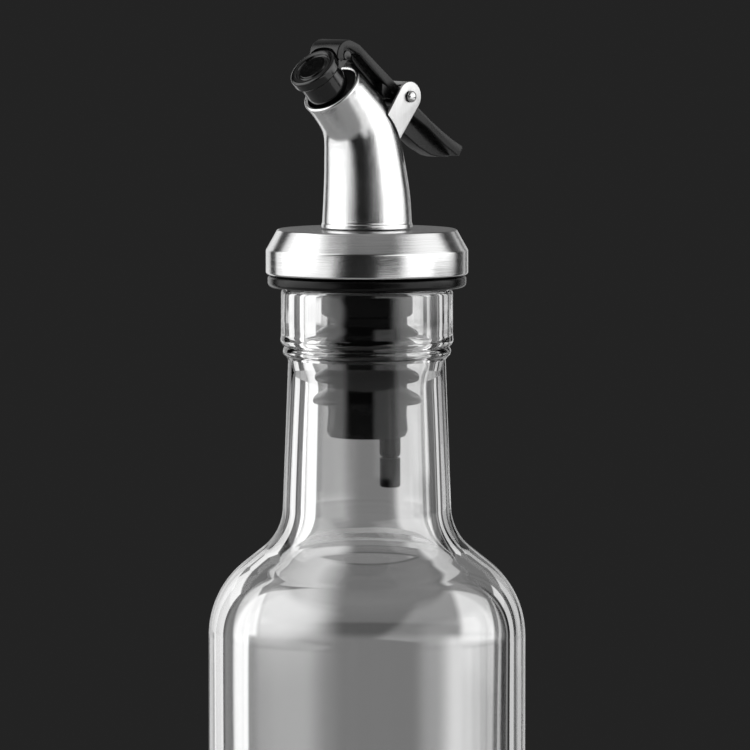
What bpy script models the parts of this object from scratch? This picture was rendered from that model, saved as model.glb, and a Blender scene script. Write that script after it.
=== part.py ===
"""Pourer bottle: a clear round glass bottle with a lever pourer in its neck.

Metres, +Z up, standing on z = 0 with the bottle's axis on the Z axis. The
spout leans toward -X and the lever's tail toward +X, so the pourer is
symmetric about the XZ plane. Run with
blender --background --python part.py, or from Blender's text editor.
"""

from math import acos, atan2, cos, hypot, pi, radians, sin

import bpy
import bmesh
from mathutils import Matrix, Vector

MM = 0.001
GAP = 0.3 * MM  # clearance between neighbouring pieces

# glass bottle
GLASS_HEIGHT = 220.0 * MM
BODY_RADIUS = 29.85 * MM
BODY_BORE = 25.4 * MM
FINISH_RADIUS = 16.15 * MM
FINISH_BORE = 12.1 * MM
NECK_TOP_RADIUS = 14.8 * MM
NECK_FOOT_RADIUS = 15.85 * MM
NECK_TOP_BORE = 11.4 * MM
NECK_FOOT_BORE = 11.95 * MM
FINISH_DEPTH = 9.6 * MM  # rim to the bulge under the finish
BEAD_DEPTH = 11.7 * MM  # rim to the middle of the bead
NECK_DEPTH = 13.3 * MM  # rim to the top of the neck
SHOULDER_DEPTH = 65.4 * MM  # rim to where the wall turns straight
FLARE_RADIUS = 10.0 * MM
DOME_RADIUS = 17.5 * MM
SHOULDER_SLOPE = radians(51.5)
HEEL_RADIUS = 4.0 * MM
PUSH_UP = 1.6 * MM
FLOOR_THICKNESS = 6.0 * MM
FLOOR_CORNER = 7.0 * MM

# collar and gasket, heights below the collar's flat top
COLLAR_TOP = GLASS_HEIGHT + 11.2 * MM
COLLAR_TOP_RADIUS = 16.8 * MM
COLLAR_RADIUS = 19.0 * MM
COLLAR_CHAMFER = 3.6 * MM
COLLAR_DEPTH = 8.5 * MM
COLLAR_WALL = 1.0 * MM
COLLAR_HOLE = 6.9 * MM
GASKET_RADIUS = 18.65 * MM
GASKET_THICKNESS = 2.1 * MM

# finned plug, heights below the collar's flat top
PLUG_HEAD_RADIUS = COLLAR_RADIUS - COLLAR_WALL - GAP
PLUG_NECK_RADIUS = 8.65 * MM
PLUG_RADIUS = 7.6 * MM
PLUG_NECK_END = 16.4 * MM
PLUG_END = 39.2 * MM
FIN_DEPTHS = [20.2 * MM, 22.9 * MM, 28.9 * MM, 32.9 * MM]
FIN_RADII = [9.7 * MM, 9.4 * MM, 10.0 * MM, 10.3 * MM]
POUR_BORE = 3.15 * MM
POUR_AXIS = Vector((-2.4 * MM, 1.2 * MM))
AIR_AXIS = Vector((4.13 * MM, -2.02 * MM))
AIR_RADIUS = 2.05 * MM
AIR_BORE = 0.8 * MM
AIR_STEP = 43.3 * MM
AIR_STUB_RADIUS = 1.3 * MM
TIP_RADIUS = 2.0 * MM
TIP_END = 48.9 * MM

# spout: stations of its axis as x, height above the collar, tilt, radius
SPOUT_WALL = 0.8 * MM
SPOUT_FOOT = 0.9 * MM
SPOUT_STATIONS = [
    (0.00, 0.3, 90.0, 8.45),
    (-0.05, 5.7, 89.0, 8.15),
    (-0.38, 10.2, 86.5, 7.75),
    (-0.85, 14.0, 83.5, 7.38),
    (-1.35, 16.9, 79.0, 7.05),
    (-2.25, 19.3, 66.0, 6.72),
    (-3.90, 21.6, 53.0, 6.32),
    (-6.40, 24.15, 47.0, 6.02),
    (-9.13, 26.6, 46.0, 5.90),
]

# lever, x and height above the collar in the pourer's middle plane
PIVOT = Vector((5.21 * MM, 24.85 * MM))
LEVER_HALF = 3.85 * MM
HOOK = Vector((-8.15 * MM, 32.7 * MM))
HOOK_RADIUS = 2.95 * MM
HOOK_BORE = 1.25 * MM
HUB_RADIUS = 1.9 * MM
HUB_HALF = 5.4 * MM
RIB_HALF = 1.6 * MM

# bracket and its pin
EAR_OUTSIDE = 6.3 * MM
EAR_THICKNESS = 0.6 * MM
EAR_RADIUS = 2.82 * MM
PIN_RADIUS = 0.8 * MM
PIN_HEAD_RADIUS = 1.2 * MM

# stopper on the lever
MOUTH_TILT = radians(46.0)
FLANGE_FACE = Vector((-13.98 * MM, 30.69 * MM))
FLANGE_RADIUS = 4.8 * MM
FLANGE_THICKNESS = 2.2 * MM
STOPPER_RADIUS = 4.14 * MM
STOPPER_SEAT = 6.3 * MM
STOPPER_LENGTH = 7.6 * MM
BARREL_RADIUS = 0.9 * MM
BARREL_HALF = 3.5 * MM
LUG_HALF = 2.9 * MM


def clear_scene():
    for obj in list(bpy.data.objects):
        bpy.data.objects.remove(obj, do_unlink=True)


def material(name, colour, roughness, metallic=0.0, transmission=0.0):
    mat = bpy.data.materials.new(name)
    mat.use_nodes = True
    shader = mat.node_tree.nodes["Principled BSDF"]
    shader.inputs["Base Color"].default_value = (*colour, 1.0)
    shader.inputs["Roughness"].default_value = roughness
    shader.inputs["Metallic"].default_value = metallic
    shader.inputs["Transmission Weight"].default_value = transmission
    return mat


def solid(name, verts, faces, smooth_angle=radians(35)):
    mesh = bpy.data.meshes.new(name)
    mesh.from_pydata([tuple(v) for v in verts], [], faces)
    bm = bmesh.new()
    bm.from_mesh(mesh)
    bmesh.ops.remove_doubles(bm, verts=bm.verts, dist=1e-7)
    bmesh.ops.recalc_face_normals(bm, faces=bm.faces)
    bm.to_mesh(mesh)
    bm.free()
    obj = bpy.data.objects.new(name, mesh)
    bpy.context.scene.collection.objects.link(obj)
    shade(obj, smooth_angle)
    return obj


def shade(obj, angle=radians(35)):
    obj.data.shade_smooth()
    obj.data.set_sharp_from_angle(angle=angle)


def loft(name, rings, closed=False):
    """Skins a list of equal rings; a closed loft joins the last to the first."""
    count = len(rings[0])
    verts = [point for ring in rings for point in ring]
    faces = []
    last = len(rings) if closed else len(rings) - 1
    for i in range(last):
        a = i * count
        b = (i + 1) % len(rings) * count
        for k in range(count):
            n = (k + 1) % count
            faces.append((a + k, a + n, b + n, b + k))
    if not closed:
        faces.append(tuple(range(count))[::-1])
        faces.append(tuple(len(verts) - count + k for k in range(count)))
    return solid(name, verts, faces)


def revolve(name, profile, segments=48, hollow=True, centre=(0.0, 0.0)):
    """Turns a profile of (radius, z) round a vertical axis.

    A hollow profile is a closed loop off the axis. Otherwise it is an open
    line, capped flat at both ends.
    """
    rings = []
    for radius, z in profile:
        ring = []
        for k in range(segments):
            a = 2 * pi * k / segments
            ring.append((centre[0] + radius * cos(a), centre[1] + radius * sin(a), z))
        rings.append(ring)
    return loft(name, rings, closed=hollow)


def extrude(name, outline, y0, y1):
    """Extrudes an outline of (x, z) points from y0 to y1."""
    return loft(name, [[(x, y, z) for x, z in outline] for y in (y0, y1)])


def arc(centre, radius, start, end, steps):
    """Points on an arc, angles in degrees, in the outline's plane."""
    points = []
    for i in range(steps + 1):
        a = radians(start + (end - start) * i / steps)
        points.append((centre[0] + radius * cos(a), centre[1] + radius * sin(a)))
    return points


def boolean(obj, other, operation):
    """Joins or cuts obj with other, which is then removed."""
    mod = obj.modifiers.new("bool", "BOOLEAN")
    mod.operation = operation
    mod.solver = "EXACT"
    mod.object = other
    graph = bpy.context.evaluated_depsgraph_get()
    mesh = bpy.data.meshes.new_from_object(obj.evaluated_get(graph))
    obj.modifiers.clear()
    old = obj.data
    obj.data = mesh
    bpy.data.meshes.remove(old)
    bpy.data.objects.remove(other, do_unlink=True)
    tidy(obj)


def tidy(obj):
    bm = bmesh.new()
    bm.from_mesh(obj.data)
    bmesh.ops.remove_doubles(bm, verts=bm.verts, dist=2e-6)
    bmesh.ops.dissolve_degenerate(bm, edges=bm.edges, dist=1e-6)
    bm.to_mesh(obj.data)
    bm.free()
    shade(obj)


def shift(obj, dx=0.0, dz=0.0):
    obj.data.transform(Matrix.Translation((dx, 0.0, dz)))


def finish(obj, mat, location=(0.0, 0.0, 0.0)):
    obj.data.materials.clear()
    obj.data.materials.append(mat)
    obj.location = location


def shoulder(neck_radius, body_radius, end_z, flare, dome, start_slope, steps):
    """Neck foot to body: a flare, a straight slope and a dome, top down."""
    slope = SHOULDER_SLOPE
    flare_out = flare * (cos(start_slope) - cos(slope))
    dome_out = dome * (1 - cos(slope))
    straight = (body_radius - neck_radius - flare_out - dome_out) / sin(slope)
    points = []
    z = end_z + dome * sin(slope) + straight * cos(slope)
    z += flare * (sin(slope) - sin(start_slope))
    for i in range(steps + 1):
        a = start_slope + (slope - start_slope) * i / steps
        r = neck_radius + flare * (cos(start_slope) - cos(a))
        points.append((r, z - flare * (sin(a) - sin(start_slope))))
    for i in range(steps + 1):
        a = slope * (1 - i / steps)
        points.append((body_radius - dome * (1 - cos(a)), end_z + dome * sin(a)))
    return points


def bottle():
    top = GLASS_HEIGHT
    profile = [(FINISH_BORE + 0.5 * MM, top)]
    profile += arc((FINISH_RADIUS - 0.9 * MM, top - 0.9 * MM), 0.9 * MM, 90, 0, 3)
    profile.append((FINISH_RADIUS, top - FINISH_DEPTH + 1.0 * MM))
    profile.append((FINISH_RADIUS + 0.15 * MM, top - FINISH_DEPTH - 0.2 * MM))
    profile.append((FINISH_RADIUS - 0.25 * MM, top - FINISH_DEPTH - 0.9 * MM))
    bead = (FINISH_RADIUS - 1.55 * MM, top - BEAD_DEPTH)
    profile += arc(bead, 1.2 * MM, 45, -60, 4)
    profile.append((NECK_TOP_RADIUS, top - NECK_DEPTH))
    end_z = top - SHOULDER_DEPTH
    profile += shoulder(NECK_FOOT_RADIUS, BODY_RADIUS, end_z, FLARE_RADIUS, DOME_RADIUS,
                        radians(1.6), 6)
    heel = (BODY_RADIUS - HEEL_RADIUS, HEEL_RADIUS)
    profile += arc(heel, HEEL_RADIUS, 0, -90, 4)
    ring = BODY_RADIUS - HEEL_RADIUS - 3.0 * MM
    profile.append((ring, 0.0))
    profile.append((ring - 2.0 * MM, PUSH_UP * 0.7))
    profile.append((ring * 0.55, PUSH_UP))
    outside = profile
    floor = PUSH_UP + FLOOR_THICKNESS
    inside = [(BODY_BORE * 0.45, floor)]
    corner = (BODY_BORE - FLOOR_CORNER, floor + FLOOR_CORNER)
    inside += arc(corner, FLOOR_CORNER, -90, 0, 4)
    wall = BODY_RADIUS - BODY_BORE
    inner = shoulder(NECK_FOOT_BORE, BODY_BORE, end_z, FLARE_RADIUS + wall,
                     DOME_RADIUS - wall, radians(0.8), 6)
    inside += inner[::-1]
    inside.append((NECK_TOP_BORE, top - NECK_DEPTH - 4.8 * MM))
    inside.append((FINISH_BORE - 0.2 * MM, top - NECK_DEPTH - 2.4 * MM))
    inside.append((FINISH_BORE, top - 0.5 * MM))
    return cupped("glass_bottle", outside, inside, 40)


def cupped(name, outside, inside, segments):
    """A vessel from its outer profile, top down, and inner one, floor up."""
    rings = [[(r * cos(2 * pi * k / segments), r * sin(2 * pi * k / segments), z)
              for k in range(segments)] for r, z in outside + inside]
    count = segments
    verts = [p for ring in rings for p in ring]
    faces = []
    for i in range(len(rings)):
        if i == len(outside) - 1:
            faces.append(tuple(i * count + k for k in range(count)))
            faces.append(tuple((i + 1) * count + k for k in range(count))[::-1])
            continue
        a = i * count
        b = (i + 1) % len(rings) * count
        for k in range(count):
            n = (k + 1) % count
            faces.append((a + k, a + n, b + n, b + k))
    return solid(name, verts, faces)


def collar():
    r, d, t = COLLAR_RADIUS, COLLAR_DEPTH, COLLAR_WALL
    profile = [
        (COLLAR_HOLE, 0.0),
        (COLLAR_TOP_RADIUS - 0.2 * MM, 0.0),
        (COLLAR_TOP_RADIUS + 0.1 * MM, -0.15 * MM),
        (r - 0.3 * MM, -COLLAR_CHAMFER + 0.2 * MM),
        (r, -COLLAR_CHAMFER - 0.3 * MM),
        (r, -d + 0.3 * MM),
        (r - 0.3 * MM, -d),
        (r - t, -d),
        (r - t, -COLLAR_CHAMFER - 0.5 * MM),
        (COLLAR_TOP_RADIUS - 0.5 * MM, -t),
        (COLLAR_HOLE, -t),
    ]
    return revolve("collar", profile, 48)


def gasket():
    top = -COLLAR_DEPTH - GAP
    low = top - GASKET_THICKNESS
    r = GASKET_RADIUS
    profile = [(PLUG_NECK_RADIUS + GAP, top), (r - 0.3 * MM, top), (r, top - 0.3 * MM)]
    profile += arc((r - 0.9 * MM, low + 0.9 * MM), 0.9 * MM, -10, -80, 3)
    profile += [(PLUG_NECK_RADIUS + GAP, low)]
    return revolve("gasket_ring", profile, 48)


def fin(depth, radius):
    """One fin of the plug: a sloped top and a flat underside."""
    root = PLUG_RADIUS
    return [
        (root, -depth + 2.2 * MM),
        (radius - 0.5 * MM, -depth + 1.1 * MM),
        (radius, -depth + 0.6 * MM),
        (radius, -depth + 0.1 * MM),
        (root + 0.1 * MM, -depth),
    ]


def plug():
    head = PLUG_HEAD_RADIUS
    under = -COLLAR_WALL - GAP
    profile = [
        (COLLAR_TOP_RADIUS - 1.0 * MM, under),
        (head, -COLLAR_CHAMFER - 0.9 * MM),
        (head, -COLLAR_DEPTH),
        (PLUG_NECK_RADIUS, -COLLAR_DEPTH),
        (PLUG_NECK_RADIUS, -PLUG_NECK_END + 0.5 * MM),
        (PLUG_NECK_RADIUS - 0.5 * MM, -PLUG_NECK_END),
        (PLUG_RADIUS, -PLUG_NECK_END),
    ]
    for depth, radius in zip(FIN_DEPTHS, FIN_RADII):
        profile += fin(depth, radius)
    profile += [
        (PLUG_RADIUS - 0.1 * MM, -FIN_DEPTHS[-1] - 2.5 * MM),
        (PLUG_RADIUS + 0.15 * MM, -PLUG_END + 1.0 * MM),
        (PLUG_RADIUS - 0.3 * MM, -PLUG_END),
    ]
    body = revolve("plug", profile, 32, hollow=False)
    for centre, radius in ((POUR_AXIS, POUR_BORE), (AIR_AXIS, AIR_RADIUS + GAP)):
        cut = revolve("cut", [(radius, -45 * MM), (radius, 5 * MM)], 20, False, centre)
        boolean(body, cut, "DIFFERENCE")
    return body


def air_tube():
    profile = [
        (AIR_BORE, -2.0 * MM),
        (AIR_RADIUS, -2.0 * MM),
        (AIR_RADIUS, -AIR_STEP + 0.6 * MM),
        (AIR_RADIUS - 0.25 * MM, -AIR_STEP),
        (AIR_STUB_RADIUS, -AIR_STEP),
        (AIR_STUB_RADIUS, -AIR_STEP - 3.4 * MM),
        (AIR_BORE, -AIR_STEP - 3.4 * MM),
    ]
    return revolve("air_tube", profile, 20, centre=AIR_AXIS)


def tube_tip():
    bore = AIR_STUB_RADIUS + GAP
    top = -AIR_STEP - GAP
    profile = [
        (bore, top),
        (TIP_RADIUS, top),
        (TIP_RADIUS, -TIP_END + 0.3 * MM),
        (TIP_RADIUS - 0.25 * MM, -TIP_END),
        (bore, -TIP_END),
    ]
    return revolve("tube_tip", profile, 20, centre=AIR_AXIS)


def station(t):
    """The spout's axis at t, a station number with a fraction, by cubics."""
    rows = SPOUT_STATIONS
    i = min(int(t), len(rows) - 2)
    u = t - i
    before, after = rows[max(i - 1, 0)], rows[min(i + 2, len(rows) - 1)]
    values = []
    for p0, p1, p2, p3 in zip(before, rows[i], rows[i + 1], after):
        slope1, slope2 = (p2 - p0) / 2, (p3 - p1) / 2
        h = (2 * u ** 3 - 3 * u ** 2 + 1) * p1 + (u ** 3 - 2 * u ** 2 + u) * slope1
        h += (3 * u ** 2 - 2 * u ** 3) * p2 + (u ** 3 - u ** 2) * slope2
        values.append(h)
    x, z, tilt, radius = values
    return x * MM, z * MM, radians(tilt), radius * MM


def spout_ring(t, radius_change=0.0, along=0.0, segments=32):
    x, z, tilt, radius = station(t)
    axis = Vector((-cos(tilt), 0.0, sin(tilt)))
    side = Vector((sin(tilt), 0.0, cos(tilt)))
    middle = Vector((x, 0.0, z)) + axis * along
    ring = []
    for k in range(segments):
        a = 2 * pi * k / segments
        offset = side * cos(a) + Vector((0.0, 1.0, 0.0)) * sin(a)
        ring.append(middle + offset * (radius + radius_change))
    return ring


def spout():
    last = len(SPOUT_STATIONS) - 1
    stops = [0.4, 1.2, 2.2, 3.0, 3.6, 4.2, 4.8, 5.4, 6.0, 6.7, 7.4]
    rings = [spout_ring(0, 0.1 * MM), spout_ring(0, 0.1 * MM, SPOUT_FOOT - 0.2 * MM)]
    rings.append(spout_ring(0, -0.1 * MM, SPOUT_FOOT))
    rings += [spout_ring(t) for t in stops]
    wall = SPOUT_WALL
    rings.append(spout_ring(last, 0.05 * MM, -0.5 * MM))
    rings.append(spout_ring(last, -0.12 * MM, -0.12 * MM))
    rings.append(spout_ring(last, -0.4 * MM, 0.0))
    rings.append(spout_ring(last, -0.68 * MM, -0.12 * MM))
    rings.append(spout_ring(last, -wall, -0.5 * MM))
    rings += [spout_ring(t, -wall) for t in stops[::-1]]
    rings.append(spout_ring(0, -wall))
    return loft("spout", rings, closed=True)


def spout_cutter():
    """The spout's outside, larger by the gap, to cut its neighbours clear."""
    stops = [0.0, 1.2, 2.2, 3.0, 3.6, 4.2, 4.8, 5.4, 6.0, 6.7, 7.4, 8.0]
    return loft("spout_cutter", [spout_ring(t, GAP) for t in stops])


def tangent(point, centre, radius, side):
    """Where a line from point touches a circle, on the given side."""
    dx, dz = point[0] - centre[0], point[1] - centre[1]
    a = atan2(dz, dx) + side * acos(radius / hypot(dx, dz))
    return centre[0] + radius * cos(a), centre[1] + radius * sin(a), a


def bracket():
    """Two ears on the spout's back, joined by a web over the lever's hub."""
    low_left = (-0.75 * MM, 21.2 * MM)
    heel_left = (1.4 * MM, 16.9 * MM)
    tip = (2.36 * MM, 16.55 * MM)
    left = tangent(low_left, PIVOT, EAR_RADIUS, -1)
    right = tangent(tip, PIVOT, EAR_RADIUS, 1)
    start, end = right[2] * 180 / pi, left[2] * 180 / pi
    while end < start:
        end += 360
    outline = arc(PIVOT, EAR_RADIUS, start, end, 12) + [low_left, heel_left, tip]
    inner = EAR_OUTSIDE - EAR_THICKNESS
    ear = extrude("bracket", outline, -EAR_OUTSIDE, -inner)
    far = extrude("far_ear", outline, inner, EAR_OUTSIDE)
    web = arc(PIVOT, EAR_RADIUS, 4, 83, 6)
    web += arc(PIVOT, EAR_RADIUS - EAR_THICKNESS, 83, 4, 6)
    half = EAR_OUTSIDE - EAR_THICKNESS / 2
    boolean(ear, extrude("web", web, -half, half), "UNION")
    boolean(ear, far, "UNION")
    hole = arc(PIVOT, PIN_RADIUS + GAP, 0, 345, 23)
    boolean(ear, extrude("hole", hole, -10 * MM, 10 * MM), "DIFFERENCE")
    boolean(ear, spout_cutter(), "DIFFERENCE")
    return ear


def hinge_pin():
    """Shaft through both ears with a domed head at each end."""
    head = EAR_OUTSIDE + GAP
    profile = [(0.25, 0.42), (0.7, 0.3), (1.0, 0.14), (1.0, 0.0)]
    rings = [(r * PIN_HEAD_RADIUS, head + h * MM) for r, h in profile]
    rings.append((PIN_RADIUS, head))
    rings += [(r, -y) for r, y in rings[::-1]]
    loops = []
    for radius, y in rings:
        loops.append([(PIVOT.x + radius * cos(2 * pi * k / 24), y,
                       PIVOT.y + radius * sin(2 * pi * k / 24)) for k in range(24)])
    return loft("hinge_pin", loops)


def lever_outline():
    """The lever's side: hook, arm and tail as one strip of plastic."""
    outer = arc(HOOK, HOOK_RADIUS, 212, 78, 12)
    inner = arc(HOOK, HOOK_BORE, 55, 212, 10)
    top = [(-5.4, 34.75), (3.6, 27.6), (9.6, 22.75), (13.2, 20.0), (16.2, 17.95),
           (18.5, 16.5), (20.6, 15.4), (21.25, 15.05)]
    low = [(21.2, 14.7), (20.3, 13.35), (19.9, 13.2), (16.5, 15.4), (12.0, 18.8),
           (8.3, 21.0), (2.5, 26.0), (-5.4, 32.8)]
    return outer + [(x * MM, z * MM) for x, z in top + low] + inner


def rib_outline():
    """The rib under the strip, deepest below the tail's thumb pad."""
    points = [(-5.6, 33.4), (-5.2, 31.6), (1.9, 25.2), (5.6, 22.9), (7.9, 17.8),
              (12.0, 15.0), (15.2, 13.45), (17.0, 13.1), (19.8, 13.05), (20.3, 13.7),
              (16.4, 16.4), (11.9, 19.8), (5.5, 24.6)]
    return [(x * MM, z * MM) for x, z in points]


def lever():
    obj = extrude("lever", lever_outline(), -LEVER_HALF, LEVER_HALF)
    boolean(obj, extrude("rib", rib_outline(), -RIB_HALF, RIB_HALF), "UNION")
    hub = arc(PIVOT, HUB_RADIUS, 0, 345, 23)
    boolean(obj, extrude("hub", hub, -HUB_HALF, HUB_HALF), "UNION")
    foot = [(0.5, 27.4), (0.5, 25.6), (1.3, 24.6), (2.6, 24.4), (3.0, 26.2)]
    foot = [(x * MM, z * MM) for x, z in foot]
    half = LEVER_HALF - 0.2 * MM
    boolean(obj, extrude("foot", foot, -half, half), "UNION")
    hole = arc(PIVOT, PIN_RADIUS + GAP, 0, 345, 23)
    boolean(obj, extrude("hole", hole, -10 * MM, 10 * MM), "DIFFERENCE")
    boolean(obj, spout_cutter(), "DIFFERENCE")
    boolean(obj, stopper_body("stopper_cutter", GAP), "DIFFERENCE")
    boolean(obj, stopper_lug(GAP), "DIFFERENCE")
    return obj


def stopper_body(name, grow=0.0, segments=36):
    """Flange with a ring groove, then a round body that ends in a cone."""
    r, b = FLANGE_RADIUS, STOPPER_RADIUS
    profile = [(1.4, 0.15), (2.75, 0.15), (2.95, 0.55), (3.35, 0.55), (3.6, 0.08)]
    if grow:
        profile = [(3.6, 0.0)]
    profile = [(x * MM, s * MM) for x, s in profile]
    profile += [
        (r - 0.45 * MM, 0.0),
        (r - 0.1 * MM, 0.15 * MM),
        (r, 0.5 * MM),
        (r, FLANGE_THICKNESS - 0.4 * MM),
        (r - 0.3 * MM, FLANGE_THICKNESS - 0.05 * MM),
        (b, FLANGE_THICKNESS),
        (b, STOPPER_SEAT - 0.3 * MM),
        (b - 0.75 * MM, STOPPER_LENGTH - 0.6 * MM),
        (b - 1.5 * MM, STOPPER_LENGTH),
    ]
    axis = Vector((-cos(MOUTH_TILT), 0.0, sin(MOUTH_TILT)))
    side = Vector((sin(MOUTH_TILT), 0.0, cos(MOUTH_TILT)))
    face = Vector((FLANGE_FACE.x, 0.0, FLANGE_FACE.y)) + axis * grow
    rings = []
    for i, (radius, s) in enumerate(profile):
        s = s + 2 * grow if s > 0.7 * MM and grow else s
        ring = []
        for k in range(segments):
            a = 2 * pi * k / segments
            offset = side * cos(a) + Vector((0.0, 1.0, 0.0)) * sin(a)
            ring.append(face - axis * s + offset * (radius + grow))
        rings.append(ring)
    return loft(name, rings)


def stopper_lug(grow=0.0):
    """The barrel in the lever's hook and the web that carries it."""
    barrel = arc(HOOK, BARREL_RADIUS + grow, 0, 345, 23)
    obj = extrude("barrel", barrel, -BARREL_HALF - 5 * grow, BARREL_HALF + 5 * grow)
    axis = Vector((-cos(MOUTH_TILT), sin(MOUTH_TILT)))
    side = Vector((sin(MOUTH_TILT), cos(MOUTH_TILT)))
    half = 1.0 * MM + grow
    foot = HOOK - side * 2.6 * MM
    outline = [HOOK + axis * half, HOOK - axis * half, foot - axis * half,
               foot + axis * half]
    web = extrude("lug", [tuple(p) for p in outline], -LUG_HALF - grow, LUG_HALF + grow)
    boolean(obj, web, "UNION")
    return obj


def stopper():
    obj = stopper_body("stopper")
    boolean(obj, stopper_lug(), "UNION")
    return obj


def build():
    clear_scene()
    glass = material("clear_glass", (0.95, 0.97, 0.96), 0.02, transmission=1.0)
    steel = material("brushed_steel", (0.62, 0.62, 0.61), 0.32, metallic=1.0)
    satin = material("satin_steel", (0.7, 0.7, 0.69), 0.38, metallic=1.0)
    sheet = material("sheet_steel", (0.72, 0.72, 0.71), 0.35, metallic=1.0)
    pin = material("pin_steel", (0.6, 0.6, 0.6), 0.2, metallic=1.0)
    black = material("lever_plastic", (0.025, 0.025, 0.026), 0.35)
    gloss = material("stopper_plastic", (0.012, 0.012, 0.013), 0.28)
    rubber = material("gasket_rubber", (0.02, 0.02, 0.021), 0.55)
    plug_rubber = material("plug_rubber", (0.018, 0.018, 0.019), 0.5)
    tube = material("tube_plastic", (0.02, 0.02, 0.021), 0.3)
    tip = material("tip_plastic", (0.025, 0.025, 0.026), 0.35)

    finish(bottle(), glass)
    top = (0.0, 0.0, COLLAR_TOP)
    for make, mat in ((collar, steel), (gasket, rubber), (plug, plug_rubber),
                      (air_tube, tube), (tube_tip, tip), (spout, satin),
                      (bracket, sheet), (hinge_pin, pin)):
        finish(make(), mat, top)

    pivot = bpy.data.objects.new("lever_pivot", None)
    pivot.location = (PIVOT.x, 0.0, COLLAR_TOP + PIVOT.y)
    bpy.context.scene.collection.objects.link(pivot)
    for make, mat in ((lever, black), (stopper, gloss)):
        obj = make()
        shift(obj, -PIVOT.x, -PIVOT.y)
        finish(obj, mat)
        obj.parent = pivot


build()
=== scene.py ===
from math import acos, atan2, cos, hypot, pi, radians, sin

import bmesh
import bpy
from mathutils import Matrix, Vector


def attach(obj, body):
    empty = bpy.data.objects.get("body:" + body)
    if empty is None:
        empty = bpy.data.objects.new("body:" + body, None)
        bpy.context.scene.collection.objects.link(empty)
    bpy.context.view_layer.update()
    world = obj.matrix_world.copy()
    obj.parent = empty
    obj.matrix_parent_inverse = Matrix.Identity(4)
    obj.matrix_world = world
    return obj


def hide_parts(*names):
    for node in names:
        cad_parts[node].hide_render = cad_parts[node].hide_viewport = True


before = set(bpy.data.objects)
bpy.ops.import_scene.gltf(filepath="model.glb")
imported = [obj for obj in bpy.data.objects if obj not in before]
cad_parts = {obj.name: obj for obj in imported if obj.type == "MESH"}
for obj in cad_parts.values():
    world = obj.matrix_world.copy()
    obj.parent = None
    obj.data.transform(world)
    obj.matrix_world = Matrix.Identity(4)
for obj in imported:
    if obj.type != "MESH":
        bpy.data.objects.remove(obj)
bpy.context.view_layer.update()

MM = 0.001
SHARP_ANGLE = radians(35)

# camera, in metres from the bottle's axis and the collar's top; 0 degrees is -Y
CAMERA_AZIMUTH = radians(-43.0)
CAMERA_DISTANCE, CAMERA_RISE, CAMERA_ASIDE = 1.15, 0.060, 0.0015
AIM_DROP = 0.0275
PICTURE_WIDTH, PIXEL_SIZE = 750, 0.188e-3
SENSOR_WIDTH = 36.0

# glass bottle, in millimetres
GLASS_HEIGHT = 220.0
BODY_RADIUS, BODY_BORE = 29.85, 25.4
FINISH_RADIUS, FINISH_BORE = 16.15, 12.1
NECK_TOP_RADIUS, NECK_FOOT_RADIUS = 14.8, 15.85
NECK_TOP_BORE, NECK_FOOT_BORE = 11.4, 11.95
SHOULDER_DEPTH = 65.4
FLARE_RADIUS, DOME_RADIUS = 10.0, 17.5
SHOULDER_SLOPE = radians(51.5)

# pourer, in millimetres, with heights from the collar's flat top
COLLAR_TOP = 231.2
PORE_CENTRE, PORE_RADIUS = (-2.4, 1.2), 3.15
TUBE_CENTRE, TUBE_BORE = (4.13, -2.02), 2.35
SPOUT_WALL = 0.8
# the spout's axis: x, height, tilt in degrees above the horizontal, outer radius
SPOUT_STATIONS = [
    (0.00, 0.3, 90.0, 8.45),
    (-0.05, 5.7, 89.0, 8.15),
    (-0.38, 10.2, 86.5, 7.75),
    (-0.85, 14.0, 83.5, 7.38),
    (-1.35, 16.9, 79.0, 7.05),
    (-2.25, 19.3, 66.0, 6.72),
    (-3.90, 21.6, 53.0, 6.32),
    (-6.40, 24.15, 47.0, 6.02),
    (-9.13, 26.6, 46.0, 5.90),
]
PIVOT = Vector((5.21, 24.85))
LEVER_HALF = 3.85
HOOK = Vector((-8.15, 32.7))
HOOK_RADIUS, HOOK_BORE = 2.95, 1.25
EAR_OUTSIDE, EAR_THICKNESS, EAR_RADIUS = 6.3, 0.6, 2.82
PIN_RADIUS, PIN_HEAD_RADIUS = 0.8, 1.1
PIN_HOLE_RADIUS = PIN_RADIUS + 0.3
HUB_RADIUS, RIB_HALF = 1.9, 1.6
BARREL_RADIUS, BARREL_HALF, LUG_HALF = 0.9, 3.5, 2.9
MOUTH_TILT = radians(46.0)
FLANGE_FACE = Vector((-13.98, 0.0, 30.69))


# shapes, built in millimetres from the collar's top or the bottle's foot

def arc(centre, radius, start, end, steps):
    """Points from one angle to another, in degrees."""
    points = []
    for i in range(steps + 1):
        a = radians(start + (end - start) * i / steps)
        points.append((centre[0] + radius * cos(a), centre[1] + radius * sin(a)))
    return points


def eased(points, reach, steps=4, closed=True):
    """Rounds each corner of an outline over a short reach."""
    result = []
    count = len(points)
    for i, point in enumerate(points):
        if not closed and i in (0, count - 1):
            result.append(point)
            continue
        p = Vector(point)
        before, after = Vector(points[i - 1]), Vector(points[(i + 1) % count])
        d1, d2 = before - p, after - p
        r = min(reach, 0.45 * d1.length, 0.45 * d2.length)
        if d1.length < 1e-6 or d2.length < 1e-6 or d1.angle(d2) > radians(172):
            result.append(point)
            continue
        start, end = p + d1.normalized() * r, p + d2.normalized() * r
        for k in range(steps + 1):
            t = k / steps
            q = start * (1 - t) ** 2 + p * 2 * t * (1 - t) + end * t ** 2
            result.append(tuple(q))
    return result


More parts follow.
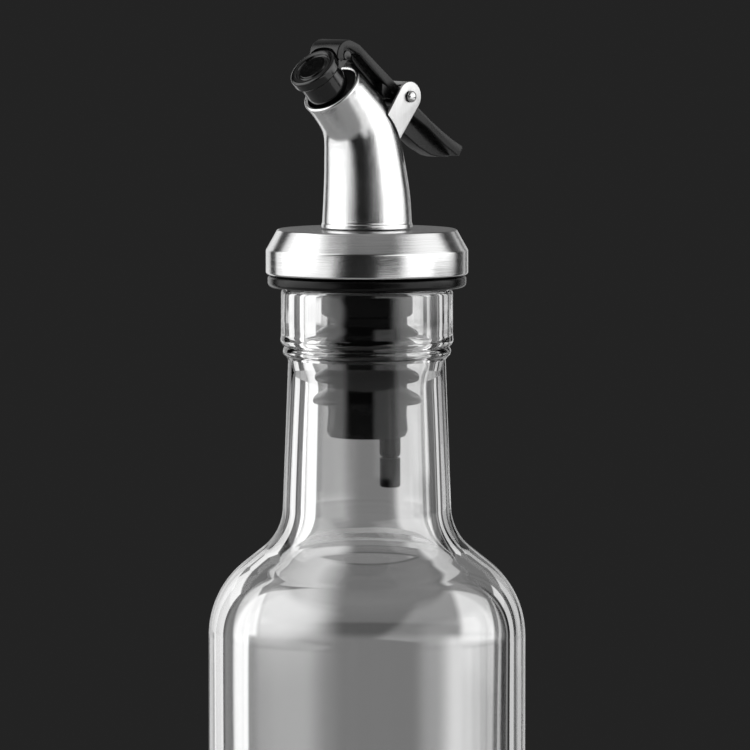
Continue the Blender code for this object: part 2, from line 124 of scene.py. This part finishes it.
def inset(outline, distance):
    """The outline moved inward, or outward if the distance is negative."""
    count = len(outline)
    area = sum(outline[i - 1][0] * outline[i][1] - outline[i][0] * outline[i - 1][1]
               for i in range(count))
    sign = 1 if area > 0 else -1
    result = []
    for i in range(count):
        p = Vector(outline[i])
        e1 = (p - Vector(outline[i - 1])).normalized()
        e2 = (Vector(outline[(i + 1) % count]) - p).normalized()
        n1, n2 = Vector((-e1.y, e1.x)) * sign, Vector((-e2.y, e2.x)) * sign
        middle = n1 + n2
        middle = middle.normalized() if middle.length > 1e-6 else n1
        scale = min(1 / max(middle.dot(n1), 0.3), 1.6)
        result.append(tuple(p + middle * distance * scale))
    return result


def solid(name, verts, faces, lift=COLLAR_TOP):
    """An object in metres, lifted, smooth but for its sharper edges."""
    mesh = bpy.data.meshes.new(name)
    mesh.from_pydata([(v[0] * MM, v[1] * MM, (v[2] + lift) * MM) for v in verts], [], faces)
    bm = bmesh.new()
    bm.from_mesh(mesh)
    bmesh.ops.remove_doubles(bm, verts=bm.verts, dist=1e-7)
    bmesh.ops.recalc_face_normals(bm, faces=bm.faces)
    bm.to_mesh(mesh)
    bm.free()
    mesh.shade_smooth()
    mesh.set_sharp_from_angle(angle=SHARP_ANGLE)
    obj = bpy.data.objects.new(name, mesh)
    bpy.context.scene.collection.objects.link(obj)
    return obj


def loft(name, rings, closed=False, lift=COLLAR_TOP, caps=None):
    """Skins equal rings; a closed loft joins the last to the first.

    With caps, the skin after that ring is left open and both its ends are closed."""
    count = len(rings[0])
    verts = [point for ring in rings for point in ring]
    faces = []
    last = len(rings) if closed else len(rings) - 1
    for i in range(last):
        a, b = i * count, (i + 1) % len(rings) * count
        if caps == i:
            faces.append(tuple(a + k for k in range(count)))
            faces.append(tuple(b + k for k in range(count))[::-1])
            continue
        for k in range(count):
            n = (k + 1) % count
            faces.append((a + k, a + n, b + n, b + k))
    if not closed:
        faces.append(tuple(range(count))[::-1])
        faces.append(tuple(len(verts) - count + k for k in range(count)))
    return solid(name, verts, faces, lift)


def revolve(name, profile, segments, closed=True, centre=(0.0, 0.0), lift=COLLAR_TOP,
            caps=None):
    """Turns a profile of (radius, height) points round an upright axis."""
    rings = []
    for radius, z in profile:
        rings.append([(centre[0] + radius * cos(2 * pi * k / segments),
                       centre[1] + radius * sin(2 * pi * k / segments), z)
                      for k in range(segments)])
    return loft(name, rings, closed, lift, caps)


def slab(name, outline, y0, y1, edge=0.0):
    """A plate of (x, z) outline from y0 to y1 with rounded rims."""
    if not edge:
        return loft(name, [[(x, y, z) for x, z in outline] for y in (y0, y1)])
    rings = []
    for along in (0, 22, 45, 68, 90):
        a = radians(along)
        loop = inset(outline, edge * (1 - sin(a)))
        rings.append([(x, y0 + edge * (1 - cos(a)), z) for x, z in loop])
    rings += [[(x, y0 + y1 - y, z) for x, y, z in ring] for ring in rings[::-1]]
    return loft(name, rings)


def combine(obj, other, operation):
    """Joins or cuts with the other object, which is used up."""
    mod = obj.modifiers.new("combine", "BOOLEAN")
    mod.operation = operation
    mod.solver = "MANIFOLD"
    mod.object = other
    graph = bpy.context.evaluated_depsgraph_get()
    mesh = bpy.data.meshes.new_from_object(obj.evaluated_get(graph))
    obj.modifiers.clear()
    obj.data = mesh
    bpy.data.objects.remove(other, do_unlink=True)
    bm = bmesh.new()
    bm.from_mesh(mesh)
    bmesh.ops.remove_doubles(bm, verts=bm.verts, dist=2e-6)
    bmesh.ops.dissolve_degenerate(bm, edges=bm.edges, dist=1e-6)
    bm.to_mesh(mesh)
    bm.free()
    mesh.shade_smooth()
    mesh.set_sharp_from_angle(angle=SHARP_ANGLE)


def shoulder(neck, body, end_z, flare, dome, start_slope, steps):
    """Neck foot to body: a flare, a straight slope and a dome, top down."""
    slope = SHOULDER_SLOPE
    flare_out = flare * (cos(start_slope) - cos(slope))
    straight = (body - neck - flare_out - dome * (1 - cos(slope))) / sin(slope)
    points = []
    z = end_z + dome * sin(slope) + straight * cos(slope)
    z += flare * (sin(slope) - sin(start_slope))
    for i in range(steps + 1):
        a = start_slope + (slope - start_slope) * i / steps
        r = neck + flare * (cos(start_slope) - cos(a))
        points.append((r, z - flare * (sin(a) - sin(start_slope))))
    for i in range(steps + 1):
        a = slope * (1 - i / steps)
        points.append((body - dome * (1 - cos(a)), end_z + dome * sin(a)))
    return points


def bottle():
    """Outside from the rim down to the foot, then inside from the floor up."""
    top = GLASS_HEIGHT
    end_z = top - SHOULDER_DEPTH
    profile = [(FINISH_BORE + 0.5, top)]
    profile += arc((FINISH_RADIUS - 0.9, top - 0.9), 0.9, 90, 0, 8)
    rim = [(FINISH_RADIUS, top - 6.0), (FINISH_RADIUS, top - 8.6),
           (FINISH_RADIUS + 0.15, top - 9.8), (FINISH_RADIUS - 0.25, top - 10.5)]
    rim += arc((FINISH_RADIUS - 1.55, top - 11.7), 1.2, 45, -60, 10)
    rim.append((NECK_TOP_RADIUS, top - 13.3))
    profile += eased(rim, 0.5, 4, closed=False)
    profile += shoulder(NECK_FOOT_RADIUS, BODY_RADIUS, end_z, FLARE_RADIUS, DOME_RADIUS,
                        radians(1.6), 24)
    profile += arc((BODY_RADIUS - 4.0, 4.0), 4.0, 0, -90, 10)
    ring = BODY_RADIUS - 7.0
    profile += eased([(ring + 0.5, 0.0), (ring, 0.0), (ring - 2.0, 1.12),
                      (ring * 0.55, 1.6)], 0.6, 4, closed=False)
    outside = len(profile)
    floor = 7.6
    profile.append((BODY_BORE * 0.45, floor))
    profile += arc((BODY_BORE - 7.0, floor + 7.0), 7.0, -90, 0, 12)
    wall = BODY_RADIUS - BODY_BORE
    inner = shoulder(NECK_FOOT_BORE, BODY_BORE, end_z, FLARE_RADIUS + wall,
                     DOME_RADIUS - wall, radians(0.8), 24)
    profile += inner[::-1]
    profile += eased([(NECK_TOP_BORE, top - 18.1), (FINISH_BORE - 0.2, top - 15.7),
                      (FINISH_BORE, top - 13.0), (FINISH_BORE, top - 0.5)], 1.0, 4,
                     closed=False)
    return revolve("glass", profile, 192, lift=0.0, caps=outside - 1)


def collar():
    """A turned shell, open below, with a chamfer and a skirt."""
    profile = [(6.9, 0.0), (16.6, 0.0), (16.9, -0.15), (18.7, -3.4), (19.0, -3.9),
               (19.0, -8.2), (18.7, -8.5), (18.0, -8.5), (18.0, -4.1), (16.3, -1.0),
               (6.9, -1.0)]
    return revolve("collar_shell", eased(profile, 0.22, 4), 192)


def gasket():
    profile = [(8.95, -8.8), (18.35, -8.8), (18.65, -9.1)]
    profile += arc((17.75, -10.0), 0.9, -10, -80, 8)
    profile.append((8.95, -10.9))
    return revolve("gasket", eased(profile, 0.15, 3), 192)


def plug():
    """Four soft fins on a core with two bores, for liquid and for the air tube."""
    root = 7.6
    profile = [(15.8, -1.3), (17.7, -4.5), (17.7, -8.5), (8.65, -8.5), (8.65, -15.9),
               (8.15, -16.4), (root, -16.4)]
    for depth, radius in zip((20.2, 22.9, 28.9, 32.9), (9.7, 9.4, 10.0, 10.3)):
        profile += [(root, 2.2 - depth), (radius - 0.5, 1.1 - depth), (radius, 0.6 - depth),
                    (radius, 0.1 - depth), (root + 0.1, -depth)]
    profile += [(root - 0.1, -35.4), (root + 0.15, -38.2), (root - 0.3, -39.2)]
    obj = revolve("plug_body", eased(profile, 0.3, 3, closed=False), 96, closed=False)
    for centre, radius in ((PORE_CENTRE, PORE_RADIUS), (TUBE_CENTRE, TUBE_BORE)):
        cut = revolve("cut", [(radius, -45.0), (radius, 5.0)], 40, False, centre)
        combine(obj, cut, "DIFFERENCE")
    return obj


def air_tube():
    profile = [(0.8, -2.0), (2.05, -2.0), (2.05, -42.7), (1.8, -43.3), (1.3, -43.3),
               (1.3, -46.7), (0.8, -46.7)]
    return revolve("vent_tube", eased(profile, 0.12, 3), 48, centre=TUBE_CENTRE)


def tube_tip():
    profile = [(1.6, -43.6), (2.0, -43.6), (2.0, -48.6), (1.75, -48.9), (1.6, -48.9)]
    return revolve("vent_tip", eased(profile, 0.12, 3), 48, centre=TUBE_CENTRE)


def station(t):
    """The spout's axis at t, a station number with a fraction, by cubics."""
    rows = SPOUT_STATIONS
    i = min(int(t), len(rows) - 2)
    u = t - i
    before, after = rows[max(i - 1, 0)], rows[min(i + 2, len(rows) - 1)]
    values = []
    for p0, p1, p2, p3 in zip(before, rows[i], rows[i + 1], after):
        slope1, slope2 = (p2 - p0) / 2, (p3 - p1) / 2
        h = (2 * u ** 3 - 3 * u ** 2 + 1) * p1 + (u ** 3 - 2 * u ** 2 + u) * slope1
        h += (3 * u ** 2 - 2 * u ** 3) * p2 + (u ** 3 - u ** 2) * slope2
        values.append(h)
    return values


def spout_ring(t, change=0.0, along=0.0, segments=96):
    """A ring round the spout's axis, changed in radius and moved along the axis."""
    x, z, tilt, radius = station(t)
    tilt = radians(tilt)
    axis = Vector((-cos(tilt), 0.0, sin(tilt)))
    side = Vector((sin(tilt), 0.0, cos(tilt)))
    middle = Vector((x, 0.0, z)) + axis * along
    ring = []
    for k in range(segments):
        a = 2 * pi * k / segments
        offset = side * cos(a) + Vector((0.0, 1.0, 0.0)) * sin(a)
        ring.append(middle + offset * (radius + change))
    return ring


def spout():
    """A leaning tube with a small foot roll and a rounded lip."""
    mouth = len(SPOUT_STATIONS) - 1
    stops = [0.3 + 7.2 * i / 44 for i in range(45)]
    rings = [spout_ring(0, 0.1), spout_ring(0, 0.1, 0.62), spout_ring(0, 0.06, 0.76),
             spout_ring(0, -0.02, 0.84), spout_ring(0, -0.06, 0.95)]
    rings += [spout_ring(t) for t in stops]
    rings.append(spout_ring(mouth, 0.0, -0.75))
    lip = arc((-0.36, -0.42), 0.42, 0, 180, 10)
    rings += [spout_ring(mouth, change, along) for change, along in lip]
    rings += [spout_ring(t, -SPOUT_WALL) for t in stops[::-1]]
    rings.append(spout_ring(0, -SPOUT_WALL))
    return loft("spout_tube", rings, closed=True)


def spout_cutter():
    """The spout with a little room around it, to clear other pieces from it."""
    return loft("cutter", [spout_ring(t * 0.25, 0.3) for t in range(33)])


def tangent(point, centre, radius, side):
    """The angle where a line from the point touches the circle, on one side."""
    dx, dz = point[0] - centre[0], point[1] - centre[1]
    return atan2(dz, dx) + side * acos(radius / hypot(dx, dz))


def bracket():
    """Two ears on the spout's back, joined by a web over the lever's hub."""
    low_left, heel_left, tip = (-0.75, 21.2), (1.4, 16.9), (2.36, 16.55)
    left = tangent(low_left, PIVOT, EAR_RADIUS, -1) * 180 / pi
    right = tangent(tip, PIVOT, EAR_RADIUS, 1) * 180 / pi
    while left < right:
        left += 360
    outline = arc(PIVOT, EAR_RADIUS, right, left, 40) + [low_left, heel_left, tip]
    inner = EAR_OUTSIDE - EAR_THICKNESS
    obj = slab("ears", outline, -EAR_OUTSIDE, -inner, 0.14)
    web = arc(PIVOT, EAR_RADIUS, 4, 83, 20)
    web += arc(PIVOT, EAR_RADIUS - EAR_THICKNESS, 83, 4, 20)
    half = EAR_OUTSIDE - EAR_THICKNESS / 2
    combine(obj, slab("web", web, -half, half, 0.0), "UNION")
    combine(obj, slab("far", outline, inner, EAR_OUTSIDE, 0.14), "UNION")
    hole = arc(PIVOT, PIN_HOLE_RADIUS, 0, 354, 59)
    combine(obj, slab("hole", hole, -10, 10), "DIFFERENCE")
    combine(obj, spout_cutter(), "DIFFERENCE")
    return obj


def hinge_pin():
    """A rivet along Y with a domed head on each side."""
    head = EAR_OUTSIDE + 0.3
    dome = [(PIN_HEAD_RADIUS * sin(radians(a)), 0.06 + 0.62 * cos(radians(a)))
            for a in range(6, 91, 6)]
    rings = [(r, head + h) for r, h in dome]
    rings += [(PIN_HEAD_RADIUS, head), (PIN_RADIUS, head)]
    rings += [(r, -y) for r, y in rings[::-1]]
    loops = [[(PIVOT.x + radius * cos(2 * pi * k / 64), y,
               PIVOT.y + radius * sin(2 * pi * k / 64)) for k in range(64)]
             for radius, y in rings]
    return loft("rivet", loops)


def lever():
    """A strip from the hook to the thumb tail, with a rib, a hub and a foot."""
    outer = arc(HOOK, HOOK_RADIUS, 212, 78, 36)
    inner = arc(HOOK, HOOK_BORE, 55, 212, 24)
    top = [(-5.4, 34.75), (3.6, 27.6), (9.6, 22.75), (13.2, 20.0), (16.2, 17.95),
           (18.5, 16.5), (20.5, 15.45), (21.15, 15.05), (21.2, 14.55)]
    low = [(20.45, 13.4), (19.85, 13.25), (16.5, 15.4), (12.0, 18.8), (8.3, 21.0),
           (2.5, 26.0), (-5.4, 32.8)]
    strip = outer + top + low + inner
    obj = slab("lever_body", strip, -LEVER_HALF, LEVER_HALF, 0.28)
    rib = [(-5.6, 33.4), (-5.2, 31.6), (1.9, 25.2), (5.6, 22.9), (7.9, 17.8),
           (12.0, 15.0), (15.2, 13.45), (17.0, 13.1), (19.8, 13.05), (20.3, 13.7),
           (16.4, 16.4), (11.9, 19.8), (5.5, 24.6)]
    combine(obj, slab("rib", rib, -RIB_HALF, RIB_HALF, 0.25), "UNION")
    combine(obj, stopper_body("stopper_cutter", 0.3), "DIFFERENCE")
    combine(obj, stopper_lug(0.3), "DIFFERENCE")
    combine(obj, slab("hub", arc(PIVOT, HUB_RADIUS, 0, 354, 59), -5.4, 5.4, 0.15), "UNION")
    foot = [(0.5, 27.4), (0.5, 25.6), (1.3, 24.6), (2.6, 24.4), (3.0, 26.2)]
    combine(obj, slab("foot", foot, -3.65, 3.65, 0.15), "UNION")
    hole = arc(PIVOT, PIN_HOLE_RADIUS, 0, 354, 59)
    combine(obj, slab("hole", hole, -10, 10), "DIFFERENCE")
    combine(obj, spout_cutter(), "DIFFERENCE")
    return obj


def stopper_body(name, grow=0.0):
    """Flange with a ring groove, then a round body that ends in a cone."""
    rim, shank, thick = 4.8, 4.14, 2.2
    face = [(1.2, 0.15), (2.6, 0.15), (2.75, 0.15), (2.98, 0.55), (3.35, 0.55),
            (3.6, 0.08), (rim - 0.45, 0.0)]
    if grow:
        face = [(rim - 0.45, 0.0)]
    profile = face + [(rim - 0.1, 0.15), (rim, 0.5), (rim, thick - 0.4),
                      (rim - 0.3, thick - 0.05), (shank, thick), (shank, 6.0),
                      (shank - 0.75, 7.0), (shank - 1.5, 7.6)]
    count = 36 if grow else 96
    if not grow:
        profile = eased(profile, 0.16, 4, closed=False)
    axis = Vector((-cos(MOUTH_TILT), 0.0, sin(MOUTH_TILT)))
    side = Vector((sin(MOUTH_TILT), 0.0, cos(MOUTH_TILT)))
    across = Vector((0.0, 1.0, 0.0))
    rings = []
    for radius, s in profile:
        s = s + grow if s > 1.0 else s - grow
        ring = []
        for k in range(count):
            a = 2 * pi * k / count
            offset = side * cos(a) + across * sin(a)
            ring.append(FLANGE_FACE - axis * s + offset * (radius + grow))
        rings.append(ring)
    return loft(name, rings)


def stopper_lug(grow=0.0):
    """The barrel in the lever's hook and the web that carries it."""
    half = BARREL_HALF + 5 * grow
    obj = slab("barrel", arc(HOOK, BARREL_RADIUS + grow, 0, 354, 59), -half, half, 0.12)
    axis = Vector((-cos(MOUTH_TILT), sin(MOUTH_TILT)))
    side = Vector((sin(MOUTH_TILT), cos(MOUTH_TILT)))
    foot = HOOK - side * 2.6
    wide = 1.0 + grow
    outline = [HOOK + axis * wide, HOOK - axis * wide, foot - axis * wide,
               foot + axis * wide]
    web = slab("lug", [tuple(p) for p in outline], -LUG_HALF - grow, LUG_HALF + grow)
    combine(obj, web, "UNION")
    return obj


def stopper():
    obj = stopper_body("stopper_button")
    combine(obj, stopper_lug(), "UNION")
    return obj


# materials

class Look:
    """A node material with a Principled shader and short-hand for its nodes."""

    def __init__(self, name, colour, roughness, metallic=0.0, **more):
        self.mat = bpy.data.materials.new(name)
        self.mat.use_nodes = True
        self.tree = self.mat.node_tree
        self.shader = self.tree.nodes["Principled BSDF"]
        self.set(self.shader, {"Base Color": (*colour, 1.0), "Roughness": roughness,
                               "Metallic": metallic})
        self.set(self.shader, {k.replace("_", " "): v for k, v in more.items()})
        self.place = self.add("ShaderNodeTexCoord").outputs["Object"]

    def set(self, node, values):
        for key, value in values.items():
            if isinstance(value, bpy.types.NodeSocket):
                self.tree.links.new(value, node.inputs[key])
            else:
                node.inputs[key].default_value = value

    def add(self, kind, values=None, **attributes):
        node = self.tree.nodes.new(kind)
        for key, value in attributes.items():
            setattr(node, key, value)
        self.set(node, values or {})
        return node

    def math(self, operation, *values):
        node = self.add("ShaderNodeMath", operation=operation)
        self.set(node, dict(enumerate(values)))
        return node.outputs[0]

    def noise(self, vector, scale, detail=2.0, roughness=0.5):
        node = self.add("ShaderNodeTexNoise", {"Vector": vector, "Scale": scale,
                                               "Detail": detail, "Roughness": roughness})
        return node.outputs["Fac"]

    def spread(self, value, low, high, to_low, to_high):
        node = self.add("ShaderNodeMapRange", {"Value": value, "From Min": low,
                                               "From Max": high, "To Min": to_low,
                                               "To Max": to_high})
        return node.outputs["Result"]

    def stretch(self, x, y, z):
        node = self.add("ShaderNodeMapping", {"Vector": self.place})
        node.inputs["Scale"].default_value = (x, y, z)
        return node.outputs["Vector"]

    def bump(self, height, strength, distance):
        values = {"Height": height, "Strength": strength, "Distance": distance}
        return self.add("ShaderNodeBump", values).outputs["Normal"]

    def mix(self, factor, first, second):
        node = self.add("ShaderNodeMix", data_type="RGBA")
        self.set(node, {0: factor, 6: first, 7: second})
        return node.outputs[2]

    def finish(self, **values):
        self.set(self.shader, {k.replace("_", " "): v for k, v in values.items()})
        return self.mat


def grey(value):
    return (value, value, value, 1.0)


def glass_look():
    """Clear glass, slightly uneven and faintly smudged."""
    look = Look("clear_glass", (1.0, 1.0, 1.0), 0.0, Transmission_Weight=1.0, IOR=1.5)
    wave = look.noise(look.stretch(1.0, 1.0, 0.3), 48.0, 1.0)
    smudge = look.noise(look.place, 35.0, 3.0)
    rough = look.spread(smudge, 0.5, 0.8, 0.0, 0.012)
    return look.finish(Roughness=rough, Normal=look.bump(wave, 0.3, 0.0007))


def turned_steel(name, value, roughness):
    """Steel with a fine grain turned round the Z axis."""
    look = Look(name, (value,) * 3, roughness, 1.0, Anisotropic=0.5,
                Anisotropic_Rotation=0.25)
    parts = look.add("ShaderNodeSeparateXYZ", {0: look.place}).outputs
    radius = look.math("SQRT", look.math("ADD", look.math("MULTIPLY", parts[0], parts[0]),
                                         look.math("MULTIPLY", parts[1], parts[1])))
    inward = look.math("DIVIDE", 1.4, look.math("MAXIMUM", radius, 0.001))
    around = look.math("MULTIPLY", parts[0], inward)
    across = look.math("MULTIPLY", parts[1], inward)
    along = look.math("SUBTRACT", look.math("MULTIPLY", parts[2], 5200.0),
                      look.math("MULTIPLY", radius, 6100.0))
    vector = look.add("ShaderNodeCombineXYZ", {0: around, 1: across, 2: along}).outputs[0]
    lines = look.noise(vector, 1.0, 3.0, 0.7)
    patch = look.noise(look.place, 90.0, 2.0)
    colour = look.mix(look.spread(lines, 0.3, 0.7, 0.0, 1.0), grey(value * 0.9),
                      grey(min(value * 1.08, 1.0)))
    rough = look.math("ADD", look.spread(lines, 0.25, 0.75, roughness - 0.04,
                                         roughness + 0.04),
                      look.spread(patch, 0.3, 0.7, -0.03, 0.03))
    tangent_node = look.add("ShaderNodeTangent", direction_type="RADIAL", axis="Z")
    return look.finish(Base_Color=colour, Roughness=rough, Tangent=tangent_node.outputs[0],
                       Normal=look.bump(lines, 0.16, 0.00008))


def satin_steel(name, value, roughness, grain=1.0):
    """Fine bead-blasted steel with faint long hairlines."""
    look = Look(name, (value,) * 3, roughness, 1.0)
    fine = look.noise(look.place, 9000.0, 2.0, 0.6)
    hair = look.noise(look.stretch(4200.0, 4200.0, 260.0), 1.0, 2.0, 0.6)
    cloud = look.noise(look.place, 160.0, 3.0)
    both = look.math("ADD", look.math("MULTIPLY", fine, 0.6),
                     look.math("MULTIPLY", hair, 0.4))
    colour = look.mix(look.spread(both, 0.35, 0.65, 0.0, 1.0), grey(value * 0.88),
                      grey(min(value * 1.1, 1.0)))
    rough = look.math("ADD", look.spread(both, 0.3, 0.7, roughness - 0.05,
                                         roughness + 0.05),
                      look.spread(cloud, 0.3, 0.7, -0.04, 0.04))
    return look.finish(Base_Color=colour, Roughness=rough,
                       Normal=look.bump(both, 0.2 * grain, 0.0001))


def moulded(name, value, roughness, scale=4000.0, strength=0.12, **more):
    """Black rubber or plastic with a fine moulded skin and faint handling."""
    look = Look(name, (value,) * 3, roughness, **more)
    skin = look.noise(look.place, scale, 2.0)
    dust = look.noise(look.place, 380.0, 4.0, 0.6)
    colour = look.mix(look.spread(dust, 0.5, 0.8, 0.0, 1.0), grey(value), grey(value * 1.7))
    rough = look.math("ADD", look.spread(skin, 0.3, 0.7, roughness - 0.04,
                                         roughness + 0.04),
                      look.spread(dust, 0.4, 0.7, -0.03, 0.05))
    return look.finish(Base_Color=colour, Roughness=rough,
                       Normal=look.bump(skin, strength, 0.0001))


# the pieces

def dress(obj, mat, node, body):
    obj.data.materials.clear()
    obj.data.materials.append(mat)
    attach(obj, body)
    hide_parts(node)


LOOKS = {
    "glass": glass_look(),
    "collar": turned_steel("collar_steel", 0.66, 0.2),
    "gasket": moulded("gasket_rubber", 0.002, 0.22, 2500.0, 0.1, Specular_IOR_Level=0.2),
    "plug": moulded("plug_rubber", 0.002, 0.2, 2500.0, 0.08, Specular_IOR_Level=0.15),
    "tube": moulded("tube_plastic", 0.003, 0.25, Specular_IOR_Level=0.1),
    "tip": moulded("tip_plastic", 0.004, 0.32, Specular_IOR_Level=0.1),
    "spout": satin_steel("spout_steel", 0.66, 0.18),
    "sheet": satin_steel("bracket_steel", 0.52, 0.34, 0.7),
    "pin": satin_steel("pin_steel", 0.55, 0.13, 0.25),
    "lever": moulded("lever_plastic", 0.003, 0.28, 6000.0, 0.12, Specular_IOR_Level=0.34),
    "stopper": moulded("stopper_rubber", 0.002, 0.13, 3000.0, 0.02, Specular_IOR_Level=0.5),
}
dress(bottle(), LOOKS["glass"], "glass_bottle", "bottle")
dress(collar(), LOOKS["collar"], "collar", "bottle")
dress(gasket(), LOOKS["gasket"], "gasket_ring", "bottle")
dress(plug(), LOOKS["plug"], "plug", "bottle")
dress(air_tube(), LOOKS["tube"], "air_tube", "bottle")
dress(tube_tip(), LOOKS["tip"], "tube_tip", "bottle")
dress(spout(), LOOKS["spout"], "spout", "bottle")
dress(bracket(), LOOKS["sheet"], "bracket", "bottle")
dress(hinge_pin(), LOOKS["pin"], "hinge_pin", "bottle")
dress(lever(), LOOKS["lever"], "lever", "lever")
dress(stopper(), LOOKS["stopper"], "stopper", "lever")


# floor, light and camera

def floor():
    mesh = bpy.data.meshes.new("floor")
    bm = bmesh.new()
    bmesh.ops.create_circle(bm, cap_ends=True, segments=96, radius=0.5)
    bm.to_mesh(mesh)
    bm.free()
    obj = bpy.data.objects.new("floor", mesh)
    bpy.context.scene.collection.objects.link(obj)
    look = Look("floor_paint", (0.5, 0.5, 0.5), 0.6)
    mesh.materials.append(look.mat)


# the studio's darkness and its calm grey backdrop, as radiances
DARK, CALM = 0.017, 0.22

# soft panels: side, inner and outer azimuth from the camera, softness of both, lowest and
# highest direction, softness of both, radiance; in degrees. Where the inner azimuth is
# None, the panel follows the slanting edge of the wide diffusers.
PANELS = [
    # wide diffusers beside the camera
    ("left", None, 127, 8, -60, 50, 3, 1.3),
    ("left", 62, 112, 12, -4, 46, 4, 1.2),
    ("right", None, 119, 8, -4, 50, 3, 1.4),
    ("right", None, 82, 8, -9, -4, 1.5, 1.8),
    ("right", None, 119, 8, -60, -9, 1.5, 1.1),
    ("right", 13, 44, 6, -40, -8.8, 0.5, 1.0),
    ("right", 45, 108, 9, -2, 25, 4, 0.9),
    # tall panels behind the bottle, which show through the glass
    ("left", 144, 164.5, 0.8, -60, 17, 0.9, 0.9),
    ("left", 164.5, 168, 0.8, -6.5, 8, 0.4, 0.8),
    ("left", 168, 177.3, 1.6, -60, 8, 0.8, 0.13),
    ("left", 168, 177.3, 1.6, -6.5, 8, 0.8, 0.42),
    ("right", 136, 139, 0.6, -60, 50, 3, 0.2),
    ("right", 143, 152, 0.8, -60, 17, 0.9, 0.65),
    ("right", 159, 174.4, 1.3, -60, -6.5, 0.5, 0.42),
    ("right", 159, 172, 1.0, -6.5, 8, 0.8, 0.62),
    # the dim strip between them, and the dim field above
    ("left", 172, 190, 4, -95, 8, 0.8, 0.07),
    ("right", 172, 190, 4, -95, 8, 0.8, 0.07),
    ("left", 150, 190, 4, -95, -6.3, 0.4, 0.1),
    ("right", 150, 190, 4, -95, -6.3, 0.4, 0.1),
    ("left", 176, 190, 1.5, -4.7, 8, 0.5, 0.07),
    ("right", 172, 190, 1.5, -4.7, 8, 0.5, 0.07),
    ("left", 142, 190, 2, 8, 60, 0.8, 0.15),
    ("right", 142, 190, 2, 8, 60, 0.8, 0.15),
    # overhead
    ("left", -190, 190, 4, 52, 95, 4, 0.3),
]


def surround():
    """Soft panels beside, behind and above the bottle, in a dark studio."""
    world = bpy.data.worlds.new("studio")
    bpy.context.scene.world = world
    world.use_nodes = True
    tree = world.node_tree
    back = tree.nodes["Background"]

    def node(kind, values=None, **attributes):
        made = tree.nodes.new(kind)
        for key, value in attributes.items():
            setattr(made, key, value)
        for key, value in (values or {}).items():
            if isinstance(value, bpy.types.NodeSocket):
                tree.links.new(value, made.inputs[key])
            else:
                made.inputs[key].default_value = value
        return made

    def math(operation, *values):
        return node("ShaderNodeMath", dict(enumerate(values)), operation=operation).outputs[0]

    place = node("ShaderNodeTexCoord").outputs["Generated"]
    turned = node("ShaderNodeVectorRotate", {"Vector": place, "Angle": -CAMERA_AZIMUTH},
                  rotation_type="Z_AXIS").outputs[0]
    parts = node("ShaderNodeSeparateXYZ", {0: turned}).outputs
    azimuth = math("ARCTAN2", parts[0], math("MULTIPLY", parts[1], -1.0))
    height = math("ARCSINE", parts[2])

    def edge(value, low, high):
        return node("ShaderNodeMapRange", {"Value": value, "From Min": radians(low),
                                           "From Max": radians(high), "To Min": 0.0,
                                           "To Max": 1.0},
                    interpolation_type="SMOOTHSTEP").outputs["Result"]

    def line(start, slope):
        return math("ADD", radians(start), math("MULTIPLY", height, slope))

    def clip(value, low, high):
        return math("MINIMUM", math("MAXIMUM", value, radians(low)), radians(high))

    # the wide diffusers' inner edges, which slant with height
    upper_left = math("MINIMUM", line(30, 5.0), line(58, -0.6))
    upper_right = math("MAXIMUM", math("MINIMUM", line(65, -5.0), radians(42)),
                       line(-5, 1.1))
    inner_edges = {
        "left": math("MAXIMUM", clip(line(22, -3.3), 30, 40), upper_left),
        "right": upper_right,
    }

    def panel(side, inner, outer, soft, low, high, blur, strength):
        flank = math("MULTIPLY", azimuth, -1.0 if side == "left" else 1.0)
        limit = inner_edges[side] if inner is None else radians(inner)
        fade = min(soft, 3)
        wide = math("MULTIPLY", edge(math("SUBTRACT", flank, limit), -soft, soft),
                    math("SUBTRACT", 1.0, edge(flank, outer - fade, outer + fade)))
        tall = math("MULTIPLY", edge(height, low - blur, low + blur),
                    math("SUBTRACT", 1.0, edge(height, high - blur, high + blur)))
        return math("MULTIPLY", math("MULTIPLY", wide, tall), strength)

    light = DARK
    for values in PANELS:
        light = math("ADD", light, panel(*values))

    def blend(factor, first, second):
        return node("ShaderNodeMix", {0: factor, 2: first, 3: second},
                    data_type="FLOAT").outputs[0]

    # past the object there is a calm backdrop, grey at the front of the studio and
    # dark at its back; straight through both glass walls the front is as calm
    turn = math("ABSOLUTE", azimuth)
    path = node("ShaderNodeLightPath").outputs
    backdrop = blend(edge(turn, 95, 150), CALM, DARK)
    through = blend(edge(turn, 92, 102), CALM, light)
    clear = math("MULTIPLY", path["Is Transmission Ray"],
                 math("GREATER_THAN", path["Transmission Depth"], 3.0))
    tree.links.new(blend(path["Is Camera Ray"], blend(clear, light, through), backdrop),
                   back.inputs["Strength"])
    back.inputs["Color"].default_value = (1.0, 1.0, 1.0, 1.0)


def camera():
    data = bpy.data.cameras.new("camera")
    obj = bpy.data.objects.new("camera", data)
    bpy.context.scene.collection.objects.link(obj)
    toward = Vector((sin(CAMERA_AZIMUTH), -cos(CAMERA_AZIMUTH), 0.0))
    right = Vector((cos(CAMERA_AZIMUTH), sin(CAMERA_AZIMUTH), 0.0))
    top = COLLAR_TOP * MM
    aside = right * CAMERA_ASIDE
    obj.location = toward * CAMERA_DISTANCE + Vector((0.0, 0.0, top + CAMERA_RISE)) + aside
    line = Vector((0.0, 0.0, top - AIM_DROP)) + aside - obj.location
    obj.rotation_euler = line.to_track_quat("-Z", "Y").to_euler()
    data.sensor_width = SENSOR_WIDTH
    data.lens = SENSOR_WIDTH * line.length / (PICTURE_WIDTH * PIXEL_SIZE)
    data.clip_start = 0.01
    bpy.context.scene.camera = obj


floor()
surround()
camera()
bpy.context.scene.view_settings.view_transform = "Standard"
